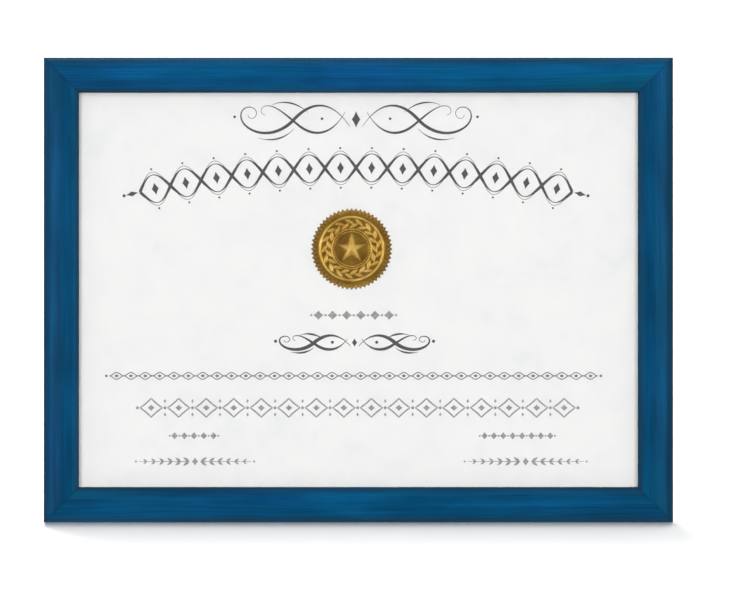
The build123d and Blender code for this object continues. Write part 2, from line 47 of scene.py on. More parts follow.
# ------------------------------------------------------------------ the frame's own axes
# x right, v up the frame from its middle, w back from its face; millimetres
LEAN = radians(14)
C, S = cos(LEAN), sin(LEAN)
UP, OUT = Vector((0, S, C)), Vector((0, -C, S))
EDGE = Vector((0, -0.0325721, -0.000106109))
FACE = EDGE + UP * 0.11945 + OUT * 0.012
HALF_W, HALF_H, RAIL = 0.1617, 0.11945, 0.0182

TILT = radians(14 - 26)
PIN = Vector((0, 0.0085611, 0.154536))
LEG_UP, LEG_OUT = Vector((0, sin(TILT), cos(TILT))), Vector((0, -cos(TILT), sin(TILT)))


def on_frame(x, v, w):
    return FACE + Vector((x, 0, 0)) * 0.001 + UP * (v * 0.001) - OUT * (w * 0.001)


def on_leg(x, v, n):
    """x right, v up the leg from the pin, n out of the leg's front from the pin."""
    return PIN + Vector((x, 0, 0)) * 0.001 + LEG_UP * (v * 0.001) + LEG_OUT * (n * 0.001)


# ------------------------------------------------------------------ material building
class Nodes:
    """One material's node tree round a Principled shader."""

    def __init__(self, name):
        self.mat = bpy.data.materials.new(name)
        self.mat.use_nodes = True
        self.tree = self.mat.node_tree
        self.tree.nodes.clear()
        self.out = self.add("ShaderNodeOutputMaterial")
        self.shader = self.add("ShaderNodeBsdfPrincipled")
        self.tree.links.new(self.shader.outputs["BSDF"], self.out.inputs["Surface"])

    def add(self, kind, **props):
        node = self.tree.nodes.new(kind)
        for key, value in props.items():
            setattr(node, key, value)
        return node

    def put(self, socket, value):
        if isinstance(value, bpy.types.NodeSocket):
            self.tree.links.new(value, socket)
        else:
            socket.default_value = value

    def set(self, **values):
        for key, value in values.items():
            self.put(self.shader.inputs[key.replace("_", " ")], value)

    def coords(self, turn=(0, 0, 0), shift=(0, 0, 0), scale=(1, 1, 1)):
        """Object coordinates, turned and shifted, as a vector."""
        here = self.add("ShaderNodeTexCoord")
        m = self.add("ShaderNodeMapping", vector_type="POINT")
        self.tree.links.new(here.outputs["Object"], m.inputs["Vector"])
        m.inputs["Location"].default_value = shift
        m.inputs["Rotation"].default_value = turn
        m.inputs["Scale"].default_value = scale
        return m.outputs["Vector"]

    def frame_coords(self):
        """x, depth w and height v in the leaning frame, in metres from the middle of its face."""
        return self.coords((LEAN, 0, 0), (0, FACE.dot(OUT), -FACE.dot(UP)))

    def leg_coords(self):
        return self.coords((TILT, 0, 0), (0, PIN.dot(LEG_OUT), -PIN.dot(LEG_UP)))

    def split(self, vector):
        s = self.add("ShaderNodeSeparateXYZ")
        self.put(s.inputs[0], vector)
        return s.outputs[0], s.outputs[1], s.outputs[2]

    def join(self, x, y, z):
        j = self.add("ShaderNodeCombineXYZ")
        for socket, value in zip(j.inputs, (x, y, z)):
            self.put(socket, value)
        return j.outputs[0]

    def math(self, op, a, b=None, c=None, clamp=False):
        m = self.add("ShaderNodeMath", operation=op, use_clamp=clamp)
        for socket, value in zip(m.inputs, (a, b, c)):
            if value is not None:
                self.put(socket, value)
        return m.outputs[0]

    def mul(self, a, b):
        return self.math("MULTIPLY", a, b)

    def sum(self, a, b):
        return self.math("ADD", a, b)

    def step(self, value, low, high, to=(0.0, 1.0)):
        """A smooth step from low to high."""
        m = self.add("ShaderNodeMapRange", interpolation_type="SMOOTHSTEP", clamp=True)
        for socket, v in zip(m.inputs, (value, low, high, *to)):
            self.put(socket, v)
        return m.outputs[0]

    def noise(self, vector, scale, detail=3.0, rough=0.5, twist=0.0):
        t = self.add("ShaderNodeTexNoise", noise_dimensions="3D")
        self.put(t.inputs["Vector"], vector)
        self.put(t.inputs["Scale"], scale)
        self.put(t.inputs["Detail"], detail)
        self.put(t.inputs["Roughness"], rough)
        self.put(t.inputs["Distortion"], twist)
        return t.outputs[0]

    def cells(self, vector, scale, feature="F1"):
        t = self.add("ShaderNodeTexVoronoi", feature=feature)
        self.put(t.inputs["Vector"], vector)
        self.put(t.inputs["Scale"], scale)
        return t.outputs["Distance"]

    def stretch(self, vector, along, across, depth):
        """The vector scaled by three factors."""
        m = self.add("ShaderNodeVectorMath", operation="MULTIPLY")
        self.put(m.inputs[0], vector)
        m.inputs[1].default_value = (along, across, depth)
        return m.outputs[0]

    def ramp(self, value, *stops):
        r = self.add("ShaderNodeValToRGB")
        els = r.color_ramp.elements
        while len(els) < len(stops):
            els.new(0.5)
        for el, (at, colour) in zip(els, stops):
            el.position, el.color = at, (*colour, 1)
        self.put(r.inputs[0], value)
        return r.outputs[0]

    def mix(self, share, a, b, blend="MIX"):
        m = self.add("ShaderNodeMix", data_type="RGBA", blend_type=blend, clamp_factor=True)
        self.put(m.inputs[0], share)
        for socket, value in ((m.inputs[6], a), (m.inputs[7], b)):
            self.put(socket, value if isinstance(value, bpy.types.NodeSocket) else (*value, 1))
        return m.outputs[2]

    def scaled(self, colour, factor):
        m = self.add("ShaderNodeVectorMath", operation="SCALE")
        self.put(m.inputs[0], colour)
        self.put(m.inputs["Scale"], factor)
        return m.outputs[0]

    def bump(self, height, strength, distance, under=None):
        b = self.add("ShaderNodeBump")
        self.put(b.inputs["Strength"], strength)
        self.put(b.inputs["Distance"], distance)
        self.put(b.inputs["Height"], height)
        if under is not None:
            self.put(b.inputs["Normal"], under)
        return b.outputs[0]


def wood(name, way, seed, painted_rail_shade):
    """Blue dye stain under satin lacquer, grain along the rail, raw on the back."""
    n = Nodes(name)
    x, w, v = n.split(n.frame_coords())
    along, across = (x, v) if way == "x" else (v, x)
    half = HALF_H if way == "x" else HALF_W
    in_x = n.math("SUBTRACT", HALF_W, n.math("ABSOLUTE", x))
    in_v = n.math("SUBTRACT", HALF_H, n.math("ABSOLUTE", v))
    inward = in_v if way == "x" else in_x

    wander = n.noise(n.join(n.sum(n.mul(along, 7.0), seed), seed, 0.0), 1.0, 1.0)
    drift = n.mul(n.math("SUBTRACT", wander, 0.5), 0.006)
    fibre = n.join(n.sum(along, seed), n.sum(across, drift), w)
    broad = n.noise(n.stretch(fibre, 3.0, 95.0, 95.0), 1.0, 2.0, 0.5)
    streak = n.noise(n.stretch(fibre, 6.0, 330.0, 330.0), 1.0, 3.0, 0.6)
    fine = n.noise(n.stretch(fibre, 16.0, 1300.0, 1300.0), 1.0, 3.0, 0.6)
    pore = n.noise(n.stretch(fibre, 60.0, 3600.0, 3600.0), 1.0, 1.0, 0.5)
    hue = n.noise(n.stretch(fibre, 9.0, 60.0, 60.0), 1.0, 2.0, 0.5)
    patch = n.noise(n.stretch(fibre, 19.0, 75.0, 75.0), 1.0, 2.0, 0.5)

    tone = n.sum(n.mul(broad, 0.55), n.mul(streak, 0.45))
    dye = n.ramp(
        tone,
        (0.28, (0.0026, 0.036, 0.088)),
        (0.44, (0.0018, 0.056, 0.138)),
        (0.56, (0.0014, 0.070, 0.174)),
        (0.74, (0.0008, 0.098, 0.246)),
    )
    dye = n.mix(n.step(hue, 0.50, 0.72, (0.0, 0.42)), dye, (0.0010, 0.072, 0.122))
    dye = n.mix(n.step(hue, 0.46, 0.28, (0.0, 0.45)), dye, (0.0035, 0.052, 0.176))
    # painted shade per rail: each rail's dye is scaled by its own factor, so the rails read as lit and shaded copies
    # of one stain
    dye = n.scaled(dye, n.step(fine, 0.25, 0.75, (0.84 * painted_rail_shade, 1.14 * painted_rail_shade)))
    # the dye took unevenly, in soft patches a few centimetres long
    dye = n.scaled(dye, n.step(patch, 0.32, 0.68, (0.84, 1.16)))
    pores = n.step(pore, 0.60, 0.70)
    dye = n.scaled(dye, n.math("SUBTRACT", 1.0, n.mul(pores, 0.22)))
    # painted shade: both rounded edges are darkened in the colour where the roundings turn from the light, less on the
    # outer side faces; the lacquer also thins there
    edge_wobble = n.mul(n.math("SUBTRACT", fine, 0.5), 0.0012)
    rim = n.sum(inward, edge_wobble)
    outer = n.step(rim, 0.0012, 0.0050, (1.0, 0.0))
    inner = n.step(rim, RAIL - 0.0040, RAIL - 0.0008)
    outer = n.mul(outer, n.step(w, 0.0034, 0.0066, (1.0, 0.35)))
    edge = n.math("MAXIMUM", outer, inner)
    # the darker colour painted into the rounded edges as shade
    painted_edge_shade = n.ramp(tone, (0.30, (0.0064, 0.026, 0.048)), (0.70, (0.0094, 0.046, 0.084)))
    dye = n.mix(n.mul(edge, 0.74), dye, n.scaled(painted_edge_shade, n.step(fine, 0.25, 0.75, (0.85, 1.15))))
    # the mitre shows as a hairline with a little dye drawn into the end grain
    gap = n.math("ABSOLUTE", n.math("SUBTRACT", in_x, in_v))
    hair = n.step(gap, 0.00010, 0.00045, (1.0, 0.0))
    soak = n.step(gap, 0.0002, 0.0028, (1.0, 0.0))
    dye = n.scaled(dye, n.math("SUBTRACT", 1.0, n.sum(n.mul(hair, 0.20), n.mul(soak, 0.05))))

    # raw back with stain that has run over the edge
    raw = n.ramp(
        n.sum(n.mul(streak, 0.5), n.mul(fine, 0.5)),
        (0.30, (0.30, 0.185, 0.092)),
        (0.50, (0.46, 0.305, 0.165)),
        (0.70, (0.56, 0.395, 0.235)),
    )
    raw = n.scaled(raw, n.math("SUBTRACT", 1.0, n.mul(pores, 0.30)))
    blot = n.noise(n.stretch(fibre, 90.0, 160.0, 160.0), 1.0, 3.0, 0.6)
    run = n.step(n.math("SUBTRACT", inward, n.mul(blot, 0.0034)), -0.0010, 0.0012, (1.0, 0.0))
    raw = n.mix(n.mul(run, 0.92), raw, (0.010, 0.050, 0.105))
    raw = n.scaled(raw, n.math("SUBTRACT", 1.0, n.mul(hair, 0.55)))
    behind = n.step(n.sum(w, n.mul(edge_wobble, 0.15)), 0.01160, 0.01190)
    rabbet = n.mul(n.step(inward, 0.01195, 0.01215), n.step(w, 0.0031, 0.0036))
    behind = n.math("MAXIMUM", behind, rabbet)
    n.set(Base_Color=n.mix(behind, dye, raw))

    sheen = n.sum(0.17, n.mul(streak, 0.10))
    sheen = n.sum(sheen, n.mul(pores, 0.10))
    sheen = n.sum(sheen, n.mul(edge, 0.26))
    rough = n.sum(n.mul(sheen, n.math("SUBTRACT", 1.0, behind)), n.mul(behind, 0.78))
    n.set(Roughness=rough, Specular_IOR_Level=0.016)
    relief = n.sum(n.mul(fine, 0.55), n.mul(streak, 0.45))
    relief = n.math("SUBTRACT", relief, n.mul(pores, 0.45))
    relief = n.math("SUBTRACT", relief, n.mul(hair, 1.1))
    n.set(Normal=n.bump(relief, 0.35, 0.00022))
    return n.mat


def glass():
    """Clear picture glass: a mirror that follows the angle, and a clean view through it."""
    n = Nodes("picture_glass")
    n.tree.nodes.remove(n.shader)
    here = n.frame_coords()
    smear = n.noise(n.stretch(here, 26.0, 26.0, 44.0), 1.0, 4.0, 0.6, 0.6)
    through = n.add("ShaderNodeBsdfTransparent")
    through.inputs["Color"].default_value = (0.995, 0.997, 0.996, 1)
    mirror = n.add("ShaderNodeBsdfGlossy")
    mirror.inputs["Color"].default_value = (1, 1, 1, 1)
    n.put(mirror.inputs["Roughness"], n.step(smear, 0.40, 0.80, (0.0, 0.06)))
    facing = n.add("ShaderNodeLayerWeight")
    facing.inputs["Blend"].default_value = 0.5
    steep = n.math("POWER", facing.outputs["Facing"], 5.0)
    mix = n.add("ShaderNodeMixShader")
    n.put(mix.inputs[0], n.math("MULTIPLY_ADD", steep, 0.96, 0.04))
    n.put(mix.inputs[1], through.outputs[0])
    n.put(mix.inputs[2], mirror.outputs[0])
    n.put(n.out.inputs["Surface"], mix.outputs[0])
    return n.mat


def paper():
    n = Nodes("certificate_paper")
    here = n.frame_coords()
    cloud = n.noise(here, 60.0, 4.0, 0.62, 0.6)
    vein = n.noise(n.stretch(here, 150.0, 150.0, 110.0), 1.0, 5.0, 0.65, 1.1)
    grit = n.noise(here, 2600.0, 2.0, 0.5)
    tone = n.ramp(
        n.sum(n.mul(cloud, 0.6), n.mul(vein, 0.4)),
        (0.34, (0.750, 0.753, 0.757)),
        (0.48, (0.784, 0.782, 0.780)),
        (0.62, (0.810, 0.805, 0.798)),
    )
    fleck = n.step(n.noise(here, 900.0, 2.0, 0.5), 0.70, 0.80)
    tone = n.mix(n.mul(fleck, 0.10), tone, (0.60, 0.60, 0.58))
    n.set(Base_Color=tone, Roughness=n.step(grit, 0.2, 0.8, (0.78, 0.92)), Specular_IOR_Level=0.2)
    n.set(Normal=n.bump(n.sum(n.mul(vein, 0.6), n.mul(grit, 0.4)), 0.12, 0.0001))
    return n.mat


def ink(name, colour):
    n = Nodes(name)
    here = n.frame_coords()
    lay = n.noise(here, 700.0, 3.0, 0.6)
    dark = tuple(c * 0.7 for c in colour)
    pale = tuple(c * 1.5 for c in colour)
    n.set(Base_Color=n.ramp(lay, (0.3, dark), (0.7, pale)), Roughness=n.step(lay, 0.2, 0.8, (0.45, 0.65)), Specular_IOR_Level=0.25)
    n.set(Normal=n.bump(n.noise(here, 2600.0, 2.0, 0.5), 0.1, 0.0001))
    return n.mat


def gold():
    """Embossed foil, coloured by height: a paler painted highlight where it stands up, browner painted shade in the
    hollows, and darker round the rim.
    """
    n = Nodes("gold_foil")
    here = n.frame_coords()
    x, w, v = n.split(here)
    tarnish = n.noise(here, 150.0, 4.0, 0.6, 0.5)
    fine = n.noise(here, 1400.0, 3.0, 0.6)
    # painted light and shade: the height mask picks a painted highlight colour for the raised foil and a painted shade
    # colour for the hollows
    rise = n.step(n.sum(w, n.mul(n.math("SUBTRACT", tarnish, 0.5), 0.00006)), 0.005605, 0.005480)
    shaded_hollow_colour = n.ramp(tarnish, (0.30, (0.096, 0.046, 0.004)), (0.50, (0.138, 0.070, 0.006)), (0.70, (0.188, 0.104, 0.012)))
    lit_raised_colour = n.ramp(tarnish, (0.30, (0.272, 0.146, 0.020)), (0.50, (0.372, 0.222, 0.046)), (0.70, (0.495, 0.325, 0.108)))
    colour = n.mix(rise, shaded_hollow_colour, lit_raised_colour)
    # broad patches where the foil has gone browner or stayed greener
    patch = n.noise(here, 75.0, 2.0, 0.5, 0.4)
    colour = n.mix(n.step(patch, 0.52, 0.68, (0.0, 0.55)), colour, (0.62, 0.36, 0.22), "MULTIPLY")
    colour = n.mix(n.step(patch, 0.48, 0.34, (0.0, 0.60)), colour, (0.92, 1.0, 0.80), "MULTIPLY")
    dx, dv = n.math("SUBTRACT", x, -0.0035), n.math("SUBTRACT", v, 0.0210)
    away = n.math("SQRT", n.sum(n.mul(dx, dx), n.mul(dv, dv)))
    rim = n.step(away, 0.0172, 0.0202, (0.0, 0.62))
    colour = n.mix(rim, colour, (0.096, 0.047, 0.005))
    n.set(Base_Color=colour, Metallic=0.55, Specular_IOR_Level=0.15, Roughness=n.sum(0.23, n.mul(fine, 0.16)))
    n.set(Normal=n.bump(fine, 0.10, 0.0001))
    return n.mat


def velvet(name, leg=False):
    """Flocked velvet: a dense dark pile with brushed patches and a sheen."""
    n = Nodes(name)
    here = n.leg_coords() if leg else n.frame_coords()
    brushed = n.noise(n.stretch(here, 22.0, 22.0, 14.0), 1.0, 4.0, 0.6, 0.8)
    tuft = n.noise(here, 4600.0, 2.0, 0.6)
    clump = n.noise(here, 1100.0, 3.0, 0.6)
    pile = n.sum(n.mul(tuft, 0.70), n.mul(clump, 0.30))
    base = n.ramp(pile, (0.30, (0.0030, 0.0030, 0.0036)), (0.52, (0.0085, 0.0085, 0.0098)), (0.75, (0.022, 0.022, 0.026)))
    base = n.scaled(base, n.step(brushed, 0.30, 0.72, (0.62, 1.65)))
    lint = n.step(n.noise(n.stretch(here, 900.0, 900.0, 260.0), 1.0, 1.0, 0.5, 1.5), 0.775, 0.80)
    base = n.mix(n.mul(lint, 0.30), base, (0.20, 0.20, 0.20))
    if leg:
        # bare fibreboard on the sawn foot
        z = n.split(n.coords())[2]
        fibre = n.noise(n.coords(), 1700.0, 3.0, 0.6)
        board = n.ramp(fibre, (0.3, (0.085, 0.050, 0.026)), (0.7, (0.200, 0.125, 0.068)))
        base = n.mix(n.step(z, 0.00005, 0.00035, (1.0, 0.0)), base, board)
    n.set(Base_Color=base, Roughness=n.step(brushed, 0.2, 0.8, (0.82, 0.97)), Specular_IOR_Level=0.12)
    n.set(Sheen_Weight=0.70, Sheen_Roughness=0.32, Sheen_Tint=(0.60, 0.61, 0.68, 1))
    n.set(Normal=n.bump(pile, 0.45, 0.00022))
    return n.mat


def metal(name, low, high, rough, brushed=(1, 1, 1), stain=None, scratch=0.25, turn=None):
    """Plated steel: rolled grain, cloudy plating, scratches."""
    n = Nodes(name)
    here = n.frame_coords() if turn is None else n.coords(turn)
    grain = n.noise(n.stretch(here, *(2600.0 * b for b in brushed)), 1.0, 3.0, 0.6)
    cloud = n.noise(here, 260.0, 4.0, 0.6, 0.6)
    mark = n.noise(n.stretch(here, 5200.0, 5200.0, 320.0), 1.0, 2.0, 0.5, 0.5)
    cut = n.step(mark, 0.66, 0.72)
    colour = n.ramp(cloud, (0.30, low), (0.70, high))
    if stain is not None:
        colour = n.mix(n.step(n.noise(here, 420.0, 4.0, 0.65, 1.0), 0.56, 0.74, (0.0, 0.55)), colour, stain)
    colour = n.scaled(colour, n.step(grain, 0.2, 0.8, (0.90, 1.06)))
    n.set(Base_Color=colour, Metallic=1.0)
    gloss = n.sum(rough, n.mul(n.math("SUBTRACT", grain, 0.5), 0.22))
    n.set(Roughness=n.sum(gloss, n.mul(cut, 0.16)))
    relief = n.math("SUBTRACT", n.mul(grain, 0.5), n.mul(cut, scratch))
    n.set(Normal=n.bump(relief, 0.16, 0.00012))
    return n.mat


def rubber():
    n = Nodes("bumper_rubber")
    here = n.frame_coords()
    bloom = n.noise(here, 500.0, 4.0, 0.6)
    grit = n.noise(here, 3600.0, 2.0, 0.5)
    n.set(Base_Color=n.ramp(bloom, (0.3, (0.011, 0.011, 0.012)), (0.7, (0.034, 0.034, 0.036))))
    n.set(Roughness=n.step(grit, 0.2, 0.8, (0.52, 0.72)), Normal=n.bump(grit, 0.25, 0.00015))
    return n.mat


def hardboard():
    n = Nodes("hardboard")
    here = n.frame_coords()
    fibre = n.noise(n.stretch(here, 500.0, 900.0, 500.0), 1.0, 4.0, 0.65, 1.2)
    blotch = n.noise(here, 60.0, 3.0, 0.6)
    colour = n.ramp(fibre, (0.30, (0.085, 0.047, 0.024)), (0.52, (0.145, 0.086, 0.046)), (0.72, (0.215, 0.138, 0.080)))
    n.set(Base_Color=n.scaled(colour, n.step(blotch, 0.3, 0.7, (0.85, 1.15))), Roughness=n.step(fibre, 0.2, 0.8, (0.62, 0.85)))
    n.set(Specular_IOR_Level=0.3, Normal=n.bump(fibre, 0.4, 0.0002))
    return n.mat


def greyboard():
    n = Nodes("grey_board")
    here = n.frame_coords()
    pulp = n.noise(here, 900.0, 4.0, 0.6, 0.8)
    fleck = n.step(n.noise(here, 420.0, 2.0, 0.5, 2.0), 0.68, 0.75)
    colour = n.ramp(pulp, (0.3, (0.300, 0.285, 0.260)), (0.7, (0.440, 0.420, 0.385)))
    n.set(Base_Color=n.mix(n.mul(fleck, 0.5), colour, (0.18, 0.17, 0.16)), Roughness=n.step(pulp, 0.2, 0.8, (0.85, 0.95)))
    n.set(Specular_IOR_Level=0.2, Normal=n.bump(pulp, 0.3, 0.0002))
    return n.mat


def ribbon():
    """Grosgrain: ribs across the width, a fine weave along them, and two selvedges."""
    n = Nodes("black_ribbon")
    here = n.coords()
    x, y, z = n.split(here)
    weave = n.noise(n.stretch(here, 5200.0, 1500.0, 1500.0), 1.0, 2.0, 0.5)
    soft = n.noise(here, 180.0, 3.0, 0.6)
    rim = n.step(n.math("ABSOLUTE", x), 0.0043, 0.0047)
    base = n.ramp(weave, (0.30, (0.0065, 0.0065, 0.0078)), (0.70, (0.026, 0.026, 0.031)))
    base = n.scaled(base, n.step(soft, 0.3, 0.7, (0.8, 1.3)))
    base = n.mix(n.mul(rim, 0.5), base, (0.034, 0.034, 0.040))
    n.set(Base_Color=base, Roughness=n.step(weave, 0.2, 0.8, (0.50, 0.72)), Specular_IOR_Level=0.35)
    n.set(Sheen_Weight=0.25, Sheen_Roughness=0.4, Sheen_Tint=(0.7, 0.7, 0.78, 1))
    n.set(Normal=n.bump(weave, 0.5, 0.0001))
    return n.mat


# ------------------------------------------------------------------ mesh building
def new_piece(name, verts, faces, mats, slots=None, smooth=True):
    mesh = bpy.data.meshes.new(name)
    mesh.from_pydata([tuple(v) for v in verts], [], faces)
    for m in mats:
        mesh.materials.append(m)
    if slots is not None:
        mesh.polygons.foreach_set("material_index", slots)
    mesh.polygons.foreach_set("use_smooth", [smooth] * len(faces))
    mesh.validate()
    mesh.update()
    obj = bpy.data.objects.new(name, mesh)
    scene.collection.objects.link(obj)
    return obj


def finish_piece(obj, body, node):
    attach(obj, body)
    if node:
        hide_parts(node)
    return obj


# ------------------------------------------------------------------ the certificate's print
class Print:
    """Flat ink shapes on the sheet, in millimetres from the middle of the opening."""

    def __init__(self):
        self.points, self.faces, self.inks = [], [], []

    def shape(self, corners, kind=1):
        area = 0.0
        for (x0, v0), (x1, v1) in zip(corners, [*corners[1:], corners[0]]):
            area += x0 * v1 - x1 * v0
        if abs(area) < 1e-5:
            return
        if area < 0:
            corners = corners[::-1]
        first = len(self.points)
        self.points.extend(Vector((float(x), float(v))) for x, v in corners)
        self.faces.append(list(range(first, first + len(corners))))
        self.inks.append(kind)

    def stroke(self, line, width, kind=1, closed=False):
        """A pen stroke along a line; width is a function of the share of its length."""
        count = len(line)
        lengths = [0.0]
        for a, b in zip(line, line[1:]):
            lengths.append(lengths[-1] + hypot(b[0] - a[0], b[1] - a[1]))
        total = lengths[-1]
        sides = []
        for i, p in enumerate(line):
            if closed:
                q, r = line[(i - 1) % count], line[(i + 1) % count]
            else:
                q, r = line[max(i - 1, 0)], line[min(i + 1, count - 1)]
            dx, dv = r[0] - q[0], r[1] - q[1]
            run = hypot(dx, dv) or 1.0
            half = width(lengths[i] / total) / 2
            sides.append(((p[0] - dv / run * half, p[1] + dx / run * half), (p[0] + dv / run * half, p[1] - dx / run * half)))
        pairs = list(zip(sides, sides[1:]))
        if closed:
            pairs.append((sides[-1], sides[0]))
        for (a, b), (c, d) in pairs:
            quad = (a, b, d, c)
            turns = []
            for k in range(4):
                p, q, r = quad[k - 1], quad[k], quad[(k + 1) % 4]
                turns.append((q[0] - p[0]) * (r[1] - q[1]) - (q[1] - p[1]) * (r[0] - q[0]))
            if min(turns) > 0 or max(turns) < 0:
                self.shape(quad, kind)
            else:
                self.shape((a, b, d), kind)
                self.shape((a, d, c), kind)

    def lookup(self, cell=2.0):
        """A function that gives the ink at a point, 0 where the paper is bare."""
        grid = {}
        for face, kind in zip(self.faces, self.inks):
            poly = [(self.points[i].x, self.points[i].y) for i in face]
            xs, vs = [p[0] for p in poly], [p[1] for p in poly]
            for i in range(floor(min(xs) / cell), floor(max(xs) / cell) + 1):
                for j in range(floor(min(vs) / cell), floor(max(vs) / cell) + 1):
                    grid.setdefault((i, j), []).append((poly, kind))

        def ink_at(x, v):
            found = 0
            for poly, kind in grid.get((floor(x / cell), floor(v / cell)), ()):
                inside = False
                for (x0, v0), (x1, v1) in zip(poly, [*poly[1:], poly[0]]):
                    if (v0 > v) != (v1 > v) and x < x0 + (v - v0) * (x1 - x0) / (v1 - v0):
                        inside = not inside
                if inside:
                    found = max(found, kind)
            return found

        return ink_at

    def dot(self, x, v, r, kind=1, count=18):
        self.shape([(x + r * cos(2 * pi * i / count), v + r * sin(2 * pi * i / count)) for i in range(count)], kind)

    def lozenge(self, x, v, wide, tall, turn=0.0, kind=1):
        ca, sa = cos(turn), sin(turn)
        pts = []
        for i in range(24):
            # sides that curve in a little, as a pen makes them
            a = 2 * pi * i / 24
            r = 1 / (abs(cos(a)) + abs(sin(a))) ** 1.25
            px, pv = wide / 2 * r * cos(a), tall / 2 * r * sin(a)
            pts.append((x + px * ca - pv * sa, v + px * sa + pv * ca))
        self.shape(pts, kind)


def bezier(*p, steps=26):
    """Points along a chain of cubic curves given as p0, c, c, p1, c, c, p2 …"""
    out = [p[0]]
    for k in range(0, len(p) - 1, 3):
        a, b, c, d = p[k : k + 4]
        for i in range(1, steps + 1):
            t = i / steps
            u = 1 - t
            out.append(tuple(u**3 * a[j] + 3 * u * u * t * b[j] + 3 * u * t * t * c[j] + t**3 * d[j] for j in (0, 1)))
    return out


def spiral(x, v, r0, r1, a0, turns, steps=40):
    out = []
    for i in range(steps + 1):
        t = i / steps
        r, a = r0 + (r1 - r0) * t, a0 + 2 * pi * turns * t
        out.append((x + r * cos(a), v + r * sin(a)))
    return out


def flip(line, x0):
    return [(2 * x0 - x, v) for x, v in line]


def swell(thin, thick, at=0.5):
    """A pen's width: thin, swelling to thick, thin again."""

    def width(t):
        k = t / at if t < at else (1 - t) / (1 - at)
        return thin + (thick - thin) * sin(pi / 2 * max(0.0, min(1.0, k))) ** 2

    return width


def flourish(pr, x0, v0, kx, kv, weight=1.0):
    """Two mirrored pen scrolls that cross, with a lozenge between them."""

    def m(line):
        return [(x0 + x * kx, v0 + v * kv) for x, v in line]

    upper = bezier((3.2, -3.4), (12, 10.5), (22, 10.5), (31, 0.2), (38, -7.8), (48, -9.0), (54.5, -3.6), (58.6, -0.2), (58.4, 5.4), (54.4, 6.6))
    upper += bezier((54.4, 6.6), (50.8, 7.4), (48.4, 4.0), (50.4, 1.6), (51.8, 0.0), (54.2, 0.8), (53.9, 2.8))[1:]
    lower = bezier((5.4, 4.2), (12, -8.2), (21, -9.6), (29, -2.6), (36, 3.6), (41, 8.4), (45.6, 7.2), (48.2, 6.2), (47.8, 2.6), (45.2, 2.6))
    tail = bezier((24, 3.9), (30, 9.6), (37, 10.4), (42, 7.8))
    leaf = bezier((31, -4.6), (36, -10.6), (43, -11.4), (49, -9.4))
    for line, pen in ((upper, swell(0.24, 1.45, 0.42)), (lower, swell(0.22, 1.15, 0.40)), (tail, swell(0.16, 0.75, 0.5)), (leaf, swell(0.16, 0.75, 0.5))):
        for side in (m(line), flip(m(line), x0)):
            pr.stroke(side, lambda t, pen=pen: pen(t) * weight)
    pr.lozenge(x0, v0 + 0.3 * kv, 4.2 * kx, 8.6 * kv)
    for sx in (-1, 1):
        pr.dot(x0 + sx * 60.6 * kx, v0 + 1.6 * kv, 0.62 * weight)
        pr.dot(x0 + sx * 17.0 * kx, v0 + 0.6 * kv, 0.62 * weight)


def arch(pr):
    """A braided band on a shallow arc, with lozenges in its eyes and a finial at each end."""
    x0, top, radius, span, swing, waves = -1.2, 62.8, 500.0, 112.0, 7.2, 7

    def at(s, r):
        a = s / radius
        return (x0 + (radius + r) * sin(a), top - radius + (radius + r) * cos(a))

    steps = waves * 2 * 22
    for sign in (-1, 1):
        line = []
        for i in range(steps + 1):
            s = -span + 2 * span * i / steps
            line.append(at(s, sign * swing * sin(pi * waves * (s + span) / span)))
        pr.stroke(line, lambda t: 0.42 + 1.15 * abs(cos(2 * pi * waves * t)) ** 1.6)
        # a fine line beside the strand
        thin = []
        for i in range(steps + 1):
            s = -span + 2 * span * i / steps
            thin.append(at(s, sign * (swing + 1.5) * sin(pi * waves * (s + span) / span)))
        pr.stroke(thin, lambda t: 0.26)
    eye = span / waves
    for k in range(2 * waves):
        s = -span + eye * (k + 0.5)
        x, v = at(s, 0)
        pr.lozenge(x, v, 3.6, 6.4, -s / radius)
        for r in (-swing - 3.0, swing + 3.0):
            x, v = at(s, r)
            pr.dot(x, v, 0.55)
    for sign in (-1, 1):
        x, v = at(sign * (span + 4.2), 0)
        pr.lozenge(x, v, 6.6, 2.6, -sign * span / radius)
        x, v = at(sign * (span + 8.4), 0)
        pr.dot(x, v, 0.8)


def sprig(pr, x0, x1, v, tall, pairs, kind):
    """Two laurel sprigs that grow out from a lozenge, their leaves in pairs above and below the stem."""
    middle, half = (x0 + x1) / 2, (x1 - x0) / 2
    for way in (-1, 1):
        pr.stroke([(middle + way * half * (0.09 + 0.84 * i / 20), v) for i in range(21)], lambda t: 0.46 - 0.20 * t, kind)
        for k in range(pairs):
            u = (k + 0.6) / pairs
            size = 1.0 - 0.42 * u
            x = middle + way * half * (0.07 + 0.84 * (k + 0.2) / pairs)
            for sign in (-1, 1):
                ca, sa = way * cos(0.62), sign * sin(0.62)
                long, wide = tall * 0.62 * size, tall * 0.235 * size
                rim = [(long * j / 10, wide / 2 * sin(pi * (j / 10) ** 0.8)) for j in range(11)]
                rim += [(px, -py) for px, py in rim[-2:0:-1]]
                pr.shape([(x + px * ca - py * sa, v + px * sa + py * ca) for px, py in rim], kind)
        pr.dot(middle + way * half * 0.98, v, tall * 0.085, kind, 14)
    pr.lozenge(middle, v, tall * 0.50, tall * 0.66, 0.0, kind)


def rule(pr, x0, x1, v, tall, count, kind):
    """A long ruled line that opens into an eye at every step, with a lozenge in each eye."""
    pitch = (x1 - x0) / count
    for sign in (-1, 1):
        line = []
        for i in range(count * 14 + 1):
            u = i / 14
            line.append((x0 + u * pitch, v + sign * tall / 2 * sin(pi * u) ** 2))
        pr.stroke(line, lambda t: 0.52, kind)
    for i in range(count):
        pr.lozenge(x0 + (i + 0.5) * pitch, v, pitch * 0.34, tall * 0.52, 0.0, kind)
    for x in (x0 - 1.6, x1 + 1.6):
        pr.dot(x, v, tall * 0.20, kind)


